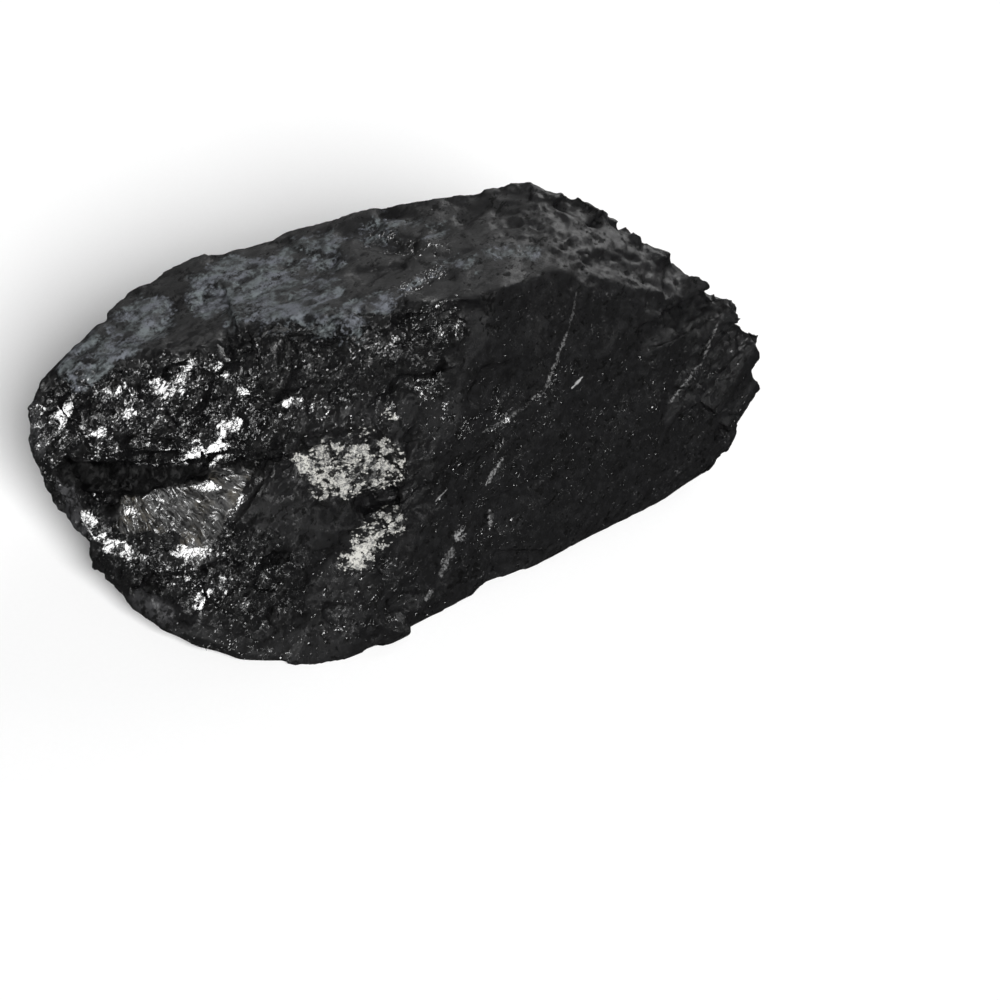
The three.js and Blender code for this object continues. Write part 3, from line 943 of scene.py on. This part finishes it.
    def glitter(self) -> Link:
        """Crumpled crests that catch the light, and loose sparks.

        Returns:
            How brightly they show.
        """
        look = self.look
        amount = self.mark(Mark.GLITTER) * self.spots(look.glitter_crowds).raised(0.1)
        crumple = self.spots(look.crests, self.along(CRYSTAL_AXIS, 1.7), 0.13 * amount)
        spark = self.cells((self.here + self.warp(Noise(0.4)) * 0.3) / look.spark).centre
        sparks = (self.chance(spark) + 0.04 * amount * amount + 0.001).between(1.0, 1.002)
        sparks = sparks * (0.3 + 0.6 * self.chance(spark + 5.0))
        return crumple.most(sparks) * (1.0 - 0.25 * self.mark(Mark.DUST).least(1.0))


@dataclass(frozen=True)
class Vein:
    """A thin pale sheet between two ends on the surface, in millimetres."""

    start: Point
    end: Point
    width: float
    wander: float
    whole: float
    strength: float
    depth: float = 5.0

    def cover(self, place: Link, ragged: Link) -> Link:
        """Where the sheet shows.

        Args:
            place: the place in millimetres.
            ragged: how its width changes from place to place.

        Returns:
            From 0 beside the sheet to its strength on it.
        """
        line = Vector(self.end) - Vector(self.start)
        across = line.cross(Vector(LOOK)).normalized()
        off = place - self.start
        share = off.dot(tuple(line / line.length_squared)) - 0.5
        taper = ragged * (self.width * (1.0 - 2.4 * share * share))
        beside = off.dot(tuple(across)).unsigned().between(taper, taper * 0.3)
        ends = share.unsigned().between(0.5, 0.42)
        near = off.dot(LOOK).unsigned().between(self.depth + 1.0, self.depth)
        return beside * ends * near * self.strength


VEINS = (
    Vein((25.9, -13.4, 41.3), (22.4, -16.2, 35.7), 0.24, 0.8, 0.1, 0.14),
    Vein((22.7, -15.8, 35.7), (19.0, -17.9, 31.5), 0.34, 0.7, 0.15, 0.32),
    Vein((19.4, -17.7, 31.9), (16.0, -19.6, 27.9), 0.4, 0.7, 0.2, 0.45),
    Vein((16.1, -19.5, 28.0), (8.0, -20.6, 25.9), 0.3, 1.2, 0.0, 0.3),
    Vein((8.0, -20.6, 25.9), (3.0, -21.1, 25.4), 0.3, 1.0, 0.0, 0.3),
    Vein((6.4, -22.9, 20.6), (1.9, -24.4, 16.8), 0.42, 0.7, 0.1, 0.6),
    Vein((2.2, -25.2, 12.4), (1.6, -26.7, 9.8), 0.5, 0.6, 0.1, 0.5),
    Vein((-6.2, -28.2, 10.1), (-10.0, -29.6, 5.9), 0.8, 1.0, 0.15, 0.36),
    Vein((-11.8, -30.5, 5.0), (-13.6, -31.2, 3.6), 0.6, 0.6, 0.1, 0.4),
    Vein((-5.1, -24.3, 19.5), (-7.9, -24.9, 18.2), 0.2, 0.2, 0.7, 0.5),
    Vein((23.8, -19.2, 27.8), (21.0, -19.9, 26.8), 0.24, 0.1, 1.0, 0.8),
    Vein((52.3, -17.4, 27.5), (48.5, -18.8, 20.7), 0.34, 0.6, 0.0, 0.3),
    Vein((48.7, -18.6, 20.7), (39.6, -21.8, 17.0), 0.44, 0.6, 0.1, 0.45),
    Vein((58.1, -18.7, 22.4), (55.5, -19.4, 20.8), 0.36, 0.3, 0.4, 0.5),
)

LIP = ((-54.6, -16.2, 4.5), (-52.4, -18.7, 3.8), (-50.8, -21.4, 3.3), (-48.2, -23.2, 2.5),
       (-45.3, -26.3, 1.8), (-40.5, -28.4, 0.9))


@dataclass
class Lump:
    """The lump itself. Sizes are millimetres."""

    voxel: float = 0.36
    triangles: int = 190_000
    sharp_degrees: float = 32.0
    weld: float = 0.001
    lip_inward: Point = (2.0, 2.0, -0.6)
    lip_under: Point = (0.7, 0.7, -1.2)
    smoothing: float = 0.5
    rounds: int = 3
    foot_height: float = 2.0
    foot_rounds: int = 6
    eased_rounds: int = 30
    marked: float = 0.05
    slope_marked: float = 0.08
    hollows: Noise = Noise(1.7, 4.0, 0.6, 0.52, 0.68)
    dents: Noise = Noise(2.4, 3.0, 0.5, 0.5, 0.72)
    pits: Noise = Noise(1.2, 3.0, 0.6, 0.58, 0.7)
    sizes: dict[str, float] = field(default_factory=lambda: {
        "Block size": 6.5, "Block tilt": 0.3, "Block step": 0.08,
        "Chip size": 2.4, "Chip tilt": 0.3, "Chip step": 0.05,
        "Lump size": 3.4, "Lump height": 1.5,
        "Hollow depth": 0.55, "Dent depth": 0.7, "Cleft depth": 2.8,
        "Grain size": 0.9, "Grain height": 0.22, "Pit depth": 0.3,
        "Fibre height": 0.4,
        "Seed": 7.0,
    })

    def build(self, finish: TourmalineFinish) -> Object:
        """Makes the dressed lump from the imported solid.

        Args:
            finish: what it is made of.

        Returns:
            The piece.
        """
        piece = self.blank()
        paint(piece.data)
        self.relief(finish.material()).run_on(piece)
        self.soften(piece)
        self.thin(piece)
        self.keep_inside(piece.data)
        paint(piece.data)
        piece.data.shade_smooth()
        piece.data.set_sharp_from_angle(angle=math.radians(self.sharp_degrees))
        return piece

    def blank(self) -> Object:
        """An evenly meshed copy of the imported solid, with its thin rims and stepped edges rounded.

        Returns:
            The new object.
        """
        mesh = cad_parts[SOLID].data.copy()
        mesh.materials.clear()
        loose = bmesh.new()
        loose.from_mesh(mesh)
        bmesh.ops.remove_doubles(loose, verts=loose.verts, dist=self.weld * MM)
        self.back_the_lip(loose)
        bmesh.ops.recalc_face_normals(loose, faces=loose.faces)
        loose.to_mesh(mesh)
        loose.free()
        piece = new_piece("tourmaline_lump", mesh)
        even = piece.modifiers.new("even", "REMESH")
        even.mode = "VOXEL"
        even.voxel_size = self.voxel * MM
        settle(piece)
        places = places_of(piece.data)
        foot = (painted(Mark.RIM, places) > self.marked) | (places[:, 2] < self.foot_height)
        self.ease(piece.data, foot, self.foot_rounds)
        self.ease(piece.data, painted(Mark.EASED, places) > self.marked, self.eased_rounds)
        return piece

    def back_the_lip(self, loose: bmesh.types.BMesh) -> None:
        """Thickens the knife edge of the foot from below, so that the even mesh keeps it.

        Args:
            loose: the solid's mesh, which gains a row of wedges.
        """
        moves = [Vector(move) for move in ((0.0, 0.0, 0.0), self.lip_inward, self.lip_under)]
        for pair in zip(LIP, LIP[1:]):
            corners = [Vector(end) + move for move in moves for end in pair]
            points = [loose.verts.new((corner.x * MM, corner.y * MM, max(corner.z, 0.0) * MM))
                      for corner in corners]
            bmesh.ops.convex_hull(loose, input=points)

    def ease(self, mesh: Mesh, where: np.ndarray, rounds: int) -> None:
        """Smooths one part of a mesh.

        Args:
            mesh: the mesh.
            where: which of its points to smooth.
            rounds: how many times over.
        """
        loose = bmesh.new()
        loose.from_mesh(mesh)
        loose.verts.ensure_lookup_table()
        verts = [loose.verts[index] for index in np.flatnonzero(where)]
        for _ in range(rounds):
            bmesh.ops.smooth_vert(loose, verts=verts, factor=self.smoothing, use_axis_x=True,
                                  use_axis_y=True, use_axis_z=True)
        loose.to_mesh(mesh)
        loose.free()

    def relief(self, material: Material) -> GeometryNet:
        """The tree that breaks the surface into blocks, chips, scales and grain.

        Args:
            material: the finish that it ends with.

        Returns:
            The tree.
        """
        net = GeometryNet("broken_relief", self.sizes)
        size, seed = net.size, net.size("Seed")
        normal = net.read("GeometryNodeInputNormal")
        broken, scaly, fibrous = (net.mark(mark) for mark in (Mark.BROKEN, Mark.SCALY, Mark.FIBROUS))
        plain = 1.0 - fibrous
        swirl = net.here + net.warp(Noise(6.0, 3.0, shift=seed)) * 5.0
        blocks = self.planes(net, swirl, normal, "Block", plain * broken, 1.3, 0.8)
        chips = self.planes(net, swirl, normal, "Chip", plain * broken, 0.5, 0.35)
        slope = Noise(size("Lump size"), 2.0, 0.45, shift=seed)
        lumps = net.sway(slope, net.along(SLOPE_AXIS, 2.2)) * size("Lump height")
        hollows = net.spots(self.hollows, net.along(SLOPE_AXIS, 2.0))
        dents = net.spots(self.dents, net.here * (0.4, 1.0, 1.0))
        pits = net.spots(self.pits) * (1.0 - net.mark(Mark.DUST).least(1.0))
        ground = net.sway(Noise(size("Grain size"), 4.0, 0.6))
        chipped = 0.12 + 0.88 * broken + 0.75 * scaly
        height = (blocks * plain * broken.raised(0.05) + chips * plain * chipped
                  - pits * size("Pit depth") + lumps * scaly - hollows * size("Hollow depth") * scaly
                  - dents * size("Dent depth") * net.mark(Mark.DENTED)
                  - size("Cleft depth") * net.mark(Mark.CLEFT)
                  + ground * size("Grain height") * broken.raised(0.5)
                  + fibres(net, 36.0) * size("Fibre height") * fibrous)
        calm = (1.0 - 0.8 * net.mark(Mark.RIM)) * (1.0 - 0.8 * net.mark(Mark.RIND))
        above_floor = net.here.dot((0.0, 0.0, 1.0)).between(0.3, 1.5)
        push = normal * ((height * calm - 0.1) * above_floor * MM)
        values = {"Geometry": net.group.outputs["Geometry"], "Offset": push}
        net.finish(net.node("GeometryNodeSetPosition", None, values).outputs[0], material)
        return net

    def planes(self, net: GeometryNet, place: Link, normal: Link, kind: str, ties: Value, low: float,
               high: float) -> Link:
        """Flat planes, one to a cell, that lean at random or keep to a cleavage direction.

        Args:
            net: the tree.
            place: the place in millimetres.
            normal: the surface's direction.
            kind: the first word of the tree's inputs for it.
            ties: how far the planes keep to the cleavage directions.
            low: the most that they go in.
            high: the most that they stand out.

        Returns:
            The height above the surface in millimetres.
        """
        size, tilt, step = (net.size(f"{kind} {what}") for what in ("size", "tilt", "step"))
        squeezed = net.along(CRYSTAL_AXIS, CRYSTAL_STRETCH, place) / size + net.size("Seed")
        cell = net.cells(squeezed)
        off = net.along(CRYSTAL_AXIS, 1.0 / CRYSTAL_STRETCH, (cell.centre - squeezed) * size)
        tied = net.swap(ties * 0.7, normal, net.cleavage(net.chance(cell.centre)))
        way = (tied + (cell.colour - 0.5) * tilt).unit()
        rise = off.dot(way) / way.dot(normal).most(0.6) - (1.0 - step) * off.dot(normal)
        return rise.most(-low).least(high)

    def soften(self, piece: Object) -> None:
        """Takes the thorns off the relief, and once more off the scaly slope.

        Args:
            piece: the lump.
        """
        smooth = piece.modifiers.new("soft", "SMOOTH")
        smooth.factor = self.smoothing
        smooth.iterations = self.rounds
        settle(piece)
        slope = painted(Mark.SCALY, places_of(piece.data)) > self.slope_marked
        self.ease(piece.data, slope, 1)

    def thin(self, piece: Object) -> None:
        """Removes triangles where the surface is plain.

        Args:
            piece: the lump.
        """
        piece.data.calc_loop_triangles()
        share = self.triangles / len(piece.data.loop_triangles)
        if share < 1.0:
            fewer = piece.modifiers.new("fewer", "DECIMATE")
            fewer.ratio = share
            settle(piece)

    def keep_inside(self, mesh: Mesh) -> None:
        """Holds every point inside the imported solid's own box.

        Args:
            mesh: the lump's mesh.
        """
        low, high = (np.array(corner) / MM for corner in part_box(SOLID))
        inside = np.clip(places_of(mesh), low, high) * MM
        mesh.vertices.foreach_set("co", inside.astype(np.float32).ravel())
        mesh.update()


@dataclass(frozen=True)
class CrustFinish(Finish):
    """The dry pale mineral of the crust. Sizes are millimetres."""

    name = "pale_crust"
    pale: Colour = (0.37, 0.365, 0.34)
    grey: Colour = (0.13, 0.13, 0.128)
    rough: float = 0.8
    tone: Noise = Noise(0.7, 3.0, 0.6, 0.38, 0.6)
    grit: Noise = Noise(0.12)
    grit_height: float = 0.05

    def dress(self, material: Material) -> None:
        """Gives a material its tree.

        Args:
            material: the material.
        """
        net = ShaderNet(material)
        colour = net.blend(net.spots(self.tone), self.grey, self.pale)
        normal = net.bump({"Strength": 0.5, "Distance": self.grit_height * MM,
                           "Height": net.noise(self.grit)})
        net.finish({"Base Color": colour, "Roughness": self.rough, "Normal": normal})


@dataclass
class Crust:
    """Small pale grains that stand on the lump. Sizes are millimetres."""

    sizes: dict[str, float] = field(default_factory=lambda: {
        "Grain radius": 0.22, "Grains per square": 4.0, "Seed": 11.0,
    })
    scatter_seed: int = 5
    smallest: Point = (0.5, 0.5, 0.3)
    largest: Point = (1.5, 1.3, 0.8)

    def build(self, lump: Object, finish: CrustFinish) -> Object:
        """Makes the grains on the marked part of the lump.

        Args:
            lump: the finished lump.
            finish: what they are made of.

        Returns:
            The piece.
        """
        piece = new_piece("pale_crust", lump.data.copy())
        piece.data.materials.clear()
        self.grains(finish.material()).run_on(piece)
        piece.data.shade_flat()
        return piece

    def grains(self, material: Material) -> GeometryNet:
        """The tree that strews the grains.

        Args:
            material: the finish that it ends with.

        Returns:
            The tree.
        """
        net = GeometryNet("crust_grains", self.sizes)
        mark = net.mark(Mark.CRUST)
        share = crust_cover(net, mark) * mark.between(0.2, 0.6)
        density = share * net.size("Grains per square") * (1 / MM ** 2)
        strewn = net.node("GeometryNodeDistributePointsOnFaces", {"distribute_method": "RANDOM"},
                          {"Mesh": net.group.outputs["Geometry"], "Density": density,
                           "Seed": self.scatter_seed})
        ball = net.node("GeometryNodeMeshIcoSphere", None,
                        {"Radius": net.size("Grain radius") * MM, "Subdivisions": 1})
        spread = net.read("FunctionNodeRandomValue", {"data_type": "FLOAT_VECTOR"},
                          {0: self.smallest, 1: self.largest, "Seed": net.size("Seed")}, 0)
        set_down = net.node("GeometryNodeInstanceOnPoints", None,
                            {"Points": strewn.outputs["Points"], "Instance": ball.outputs["Mesh"],
                             "Rotation": strewn.outputs["Rotation"], "Scale": spread})
        net.finish(set_down.outputs[0], material)
        return net


def bearing(azimuth: float, elevation: float) -> Vector:
    """The direction to a viewer or a light, by degrees round from the front and above the floor."""
    turn, rise = math.radians(azimuth), math.radians(elevation)
    return Vector((math.sin(turn) * math.cos(rise), -math.cos(turn) * math.cos(rise), math.sin(rise)))


@dataclass
class Lamp:
    """A round soft light far away, in degrees."""

    name: str
    azimuth: float
    elevation: float
    breadth: float
    strength: float
    mirrored: bool = True
    lighting: bool = False

    def build(self) -> None:
        """Makes the light."""
        lamp = bpy.data.lights.new(self.name, "SUN")
        lamp.angle = math.radians(self.breadth)
        lamp.energy = self.strength
        holder = new_piece(self.name, lamp)
        holder.rotation_mode = "QUATERNION"
        holder.rotation_quaternion = bearing(self.azimuth, self.elevation).to_track_quat("Z", "Y")
        holder.visible_glossy = self.mirrored
        holder.visible_diffuse = self.lighting


@dataclass(frozen=True)
class FloorFinish(Finish):
    """Plain white paper, with grain in millimetres."""

    name = "floor_paper"
    shade: float = 0.92
    mottle: float = 0.02
    grain: Noise = Noise(0.8)
    rough: float = 0.95

    def dress(self, material: Material) -> None:
        """Gives a material its tree.

        Args:
            material: the material.
        """
        net = ShaderNet(material)
        colour = net.blend(net.noise(self.grain), (self.shade,) * 3, (self.shade - self.mottle,) * 3)
        net.finish({"Base Color": colour, "Roughness": self.rough, "Specular IOR Level": 0.0})


@dataclass
class Studio:
    """The pale floor, the lights and the camera. Sizes are metres, but the lens is in millimetres."""

    floor_size: float = 6.0
    ambient: float = 0.05
    azimuth: float = -30.0
    elevation: float = 42.0
    distance: float = 0.415
    lens: float = 85.0
    sensor: float = 36.0
    nearest: float = 0.01
    aim: Point = (0.012109, -0.011511, -0.0008)
    lamps: tuple[Lamp, ...] = (
        Lamp("key", -7.0, 34.5, 28.0, 5.6, mirrored=False, lighting=True),
        Lamp("left_strip", -72.0, 43.5, 9.0, 0.5),
        Lamp("front_spark", -5.0, 42.0, 6.0, 0.16),
        Lamp("back_panel", 150.0, 42.0, 60.0, 0.45),
        Lamp("right_panel", 112.0, 30.0, 36.0, 1.1),
        Lamp("right_fill", 112.0, 22.0, 40.0, 0.8, mirrored=False, lighting=True),
    )

    def build(self) -> None:
        """Makes everything that isn't the object."""
        self.floor(FloorFinish())
        self.sky()
        for lamp in self.lamps:
            lamp.build()
        self.camera()
        bpy.context.scene.view_settings.view_transform = "Standard"

    def floor(self, finish: FloorFinish) -> None:
        """Makes the floor, which no gloss mirrors.

        Args:
            finish: what it is made of.
        """
        half = self.floor_size / 2
        corners = [(-half, -half, 0.0), (half, -half, 0.0), (half, half, 0.0), (-half, half, 0.0)]
        mesh = bpy.data.meshes.new("floor")
        mesh.from_pydata(corners, [], [(0, 1, 2, 3)])
        mesh.materials.append(finish.material())
        floor = new_piece("floor", mesh)
        floor.visible_glossy = False

    def sky(self) -> None:
        """Makes the light of the white room, and the white that the camera sees past the floor."""
        world = bpy.data.worlds.new("room")
        bpy.context.scene.world = world
        world.use_nodes = True
        net = Net(world.node_tree)
        white = (1.0, 1.0, 1.0, 1.0)
        room, backdrop = (net.node("ShaderNodeBackground", None, {"Color": white, "Strength": strength})
                          for strength in (self.ambient, 1.0))
        seen = net.read("ShaderNodeLightPath", output="Is Camera Ray")
        both = net.node("ShaderNodeMixShader", None, {0: seen, 1: room.outputs[0], 2: backdrop.outputs[0]})
        net.node("ShaderNodeOutputWorld", None, {"Surface": both.outputs[0]})

    def camera(self) -> None:
        """Makes the camera."""
        lens = bpy.data.cameras.new("camera")
        lens.lens, lens.sensor_width, lens.clip_start = self.lens, self.sensor, self.nearest
        camera = new_piece("camera", lens)
        back = bearing(self.azimuth, self.elevation)
        camera.location = Vector(self.aim) + back * self.distance
        camera.rotation_mode = "QUATERNION"
        camera.rotation_quaternion = (-back).to_track_quat("-Z", "Y")
        bpy.context.scene.camera = camera


def mount(piece: Object) -> None:
    """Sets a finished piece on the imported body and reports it.

    Args:
        piece: the piece in its final place.
    """
    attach(piece, BODY)
    log.info("%s: %d faces", piece.name, len(piece.data.polygons))


def main() -> None:
    """Builds the lump, its crust and the studio."""
    logging.basicConfig(level=logging.INFO, format="%(name)s %(message)s")
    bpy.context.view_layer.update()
    lump = Lump().build(TourmalineFinish())
    mount(lump)
    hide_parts(SOLID)
    mount(Crust().build(lump, CrustFinish()))
    Studio().build()


if __name__ == "__main__":
    main()
